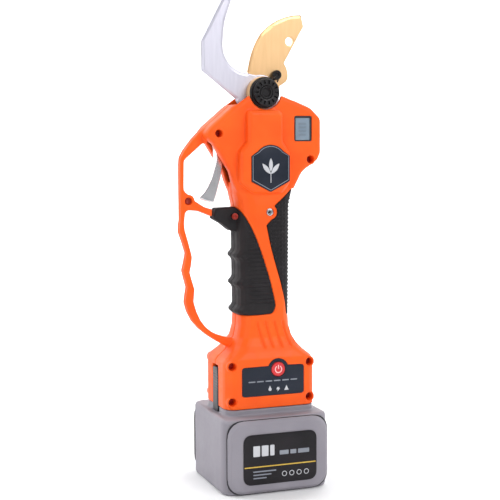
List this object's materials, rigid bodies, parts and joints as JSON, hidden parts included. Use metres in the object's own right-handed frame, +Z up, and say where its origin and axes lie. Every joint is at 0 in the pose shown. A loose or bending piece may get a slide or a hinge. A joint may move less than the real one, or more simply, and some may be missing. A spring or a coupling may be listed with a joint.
{
  "type": "battery electric pruner",
  "caption": "Cordless bypass pruner: moulded housing with finger guard and rubber grips, motor-driven gold blade closing on a steel hook, trigger, display and slide-on battery pack.",
  "frame": {"origin": "flat bottom of the battery pack, on the axis of the motor and output shaft, in the parting plane of the housing", "axes": "+Z up from the battery to the blades, -Y out of the front face with the display and controls, -X the trigger and finger-guard side, +X the palm side"},
  "size_m": [0.1154, 0.0908, 0.3958],
  "materials": {
    "orange_plastic": "satin moulded orange plastic with fine texture",
    "black_rubber": "soft matte overmould rubber, ribbed and pimpled",
    "display_lens": "flat grey display window",
    "black_plastic": "smooth black plastic",
    "panel_film": "dark blue-black printed film",
    "circuit_board": "green solder mask with parts",
    "black_steel": "black oxide steel, satin",
    "bright_steel": "bright plated steel",
    "blade_steel": "pale ground steel with a fine grain",
    "gold_steel": "gold titanium-coated steel, satin",
    "cast_aluminium": "die-cast aluminium",
    "bronze": "sintered bronze",
    "red_plastic": "glossy red plastic",
    "grey_plastic": "satin grey plastic with fine texture",
    "cell_wrap": "shrink-wrapped cells"
  },
  "bodies": {
    "housing": {"front_shell": "orange_plastic", "rear_shell": "orange_plastic", "finger_grip_front": "black_rubber", "finger_grip_rear": "black_rubber", "palm_grip_front": "black_rubber", "palm_grip_rear": "black_rubber", "display_window": "display_lens", "display_module": "black_plastic", "badge_plate": "panel_film", "control_panel": "panel_film", "button_board": "circuit_board", "housing_screw_1": "black_steel", "housing_screw_2": "black_steel", "housing_screw_3": "black_steel", "housing_screw_4": "black_steel", "housing_screw_5": "bright_steel", "housing_screw_6": "black_steel", "housing_screw_7": "black_steel", "housing_screw_8": "black_steel", "housing_screw_9": "black_steel", "fixed_blade": "blade_steel", "gear_head": "cast_aluminium", "blade_screw_1": "black_steel", "blade_screw_2": "black_steel", "pivot_bush": "gold_steel", "shaft_bearing": "bronze", "ring_gear": "cast_aluminium", "motor_can": "bright_steel", "motor_controller": "circuit_board", "terminal_block": "black_plastic", "trigger_pin": "black_steel", "trigger_spring": "bright_steel", "trigger_switch": "black_plastic"},
    "blade": {"moving_blade": "gold_steel", "sector_gear": "black_steel", "lock_nut": "black_steel", "pivot_bolt": "black_steel", "lock_tab": "black_steel", "lock_screw": "black_steel"},
    "output_shaft": {"drive_pinion": "bright_steel", "planet_carrier": "bright_steel"},
    "planet_1": {"planet_gear_1": "bright_steel"},
    "planet_2": {"planet_gear_2": "bright_steel"},
    "planet_3": {"planet_gear_3": "bright_steel"},
    "rotor": {"motor_rotor": "black_steel"},
    "trigger": {"trigger": "bright_steel"},
    "switch_plunger": {"switch_plunger": "red_plastic"},
    "power_button": {"power_button": "red_plastic"},
    "battery": {"battery_case": "grey_plastic", "battery_front_cover": "grey_plastic", "battery_rear_cover": "grey_plastic", "battery_label": "black_plastic", "battery_cell_1": "cell_wrap", "battery_cell_2": "cell_wrap", "battery_cell_3": "cell_wrap", "battery_cell_4": "cell_wrap", "battery_cell_5": "cell_wrap", "battery_board": "circuit_board"},
    "latch_left": {"latch_left": "black_plastic"},
    "latch_right": {"latch_right": "black_plastic"}
  },
  "joints": [
    {"name": "blade_swing", "type": "hinge", "parent": "housing", "child": "blade", "pos_m": [0, 0, 0.313], "axis": [0, -1, 0], "range_deg": [0, 50]},
    {"name": "shaft_spin", "type": "hinge", "parent": "housing", "child": "output_shaft", "pos_m": [0, 0, 0.28], "axis": [0, 0, 1], "range_deg": [-245, 5]},
    {"name": "rotor_spin", "type": "hinge", "parent": "housing", "child": "rotor", "pos_m": [0, 0, 0.24], "axis": [0, 0, 1], "range_deg": [-970, 10]},
    {"name": "planet_1_spin", "type": "hinge", "parent": "output_shaft", "child": "planet_1", "pos_m": [0.0078, 0, 0.26], "axis": [0, 0, 1], "range_deg": [-10, 730]},
    {"name": "planet_2_spin", "type": "hinge", "parent": "output_shaft", "child": "planet_2", "pos_m": [-0.0039, 0.00675, 0.26], "axis": [0, 0, 1], "range_deg": [-10, 730]},
    {"name": "planet_3_spin", "type": "hinge", "parent": "output_shaft", "child": "planet_3", "pos_m": [-0.0039, -0.00675, 0.26], "axis": [0, 0, 1], "range_deg": [-10, 730]},
    {"name": "trigger_pull", "type": "hinge", "parent": "housing", "child": "trigger", "pos_m": [-0.034, 0, 0.272], "axis": [0, -1, 0], "range_deg": [0, 10], "stiffness_Nm_per_rad": 0.9, "springref_deg": -6.88},
    {"name": "plunger_slide", "type": "slide", "parent": "housing", "child": "switch_plunger", "axis": [1, 0, 0], "range_m": [0, 0.0017]},
    {"name": "power_press", "type": "slide", "parent": "housing", "child": "power_button", "axis": [0, 1, 0], "range_m": [0, 0.001], "stiffness_N_per_m": 600, "springref_m": -0.001},
    {"name": "battery_slide", "type": "slide", "parent": "housing", "child": "battery", "axis": [0, 0, -1], "range_m": [0, 0.06]},
    {"name": "latch_left_press", "type": "slide", "parent": "battery", "child": "latch_left", "axis": [1, 0, 0], "range_m": [0, 0.0016], "stiffness_N_per_m": 1500, "springref_m": -0.001},
    {"name": "latch_right_press", "type": "slide", "parent": "battery", "child": "latch_right", "axis": [-1, 0, 0], "range_m": [0, 0.0016], "stiffness_N_per_m": 1500, "springref_m": -0.001}
  ],
  "couplings": [
    {"joint": "shaft_spin", "follows": "blade_swing", "ratio": -4.7778},
    {"joint": "rotor_spin", "follows": "blade_swing", "ratio": -19.111},
    {"joint": "planet_1_spin", "follows": "blade_swing", "ratio": 14.333},
    {"joint": "planet_2_spin", "follows": "blade_swing", "ratio": 14.333},
    {"joint": "planet_3_spin", "follows": "blade_swing", "ratio": 14.333},
    {"joint": "plunger_slide", "follows": "trigger_pull", "m_per_rad": 0.00917}
  ]
}
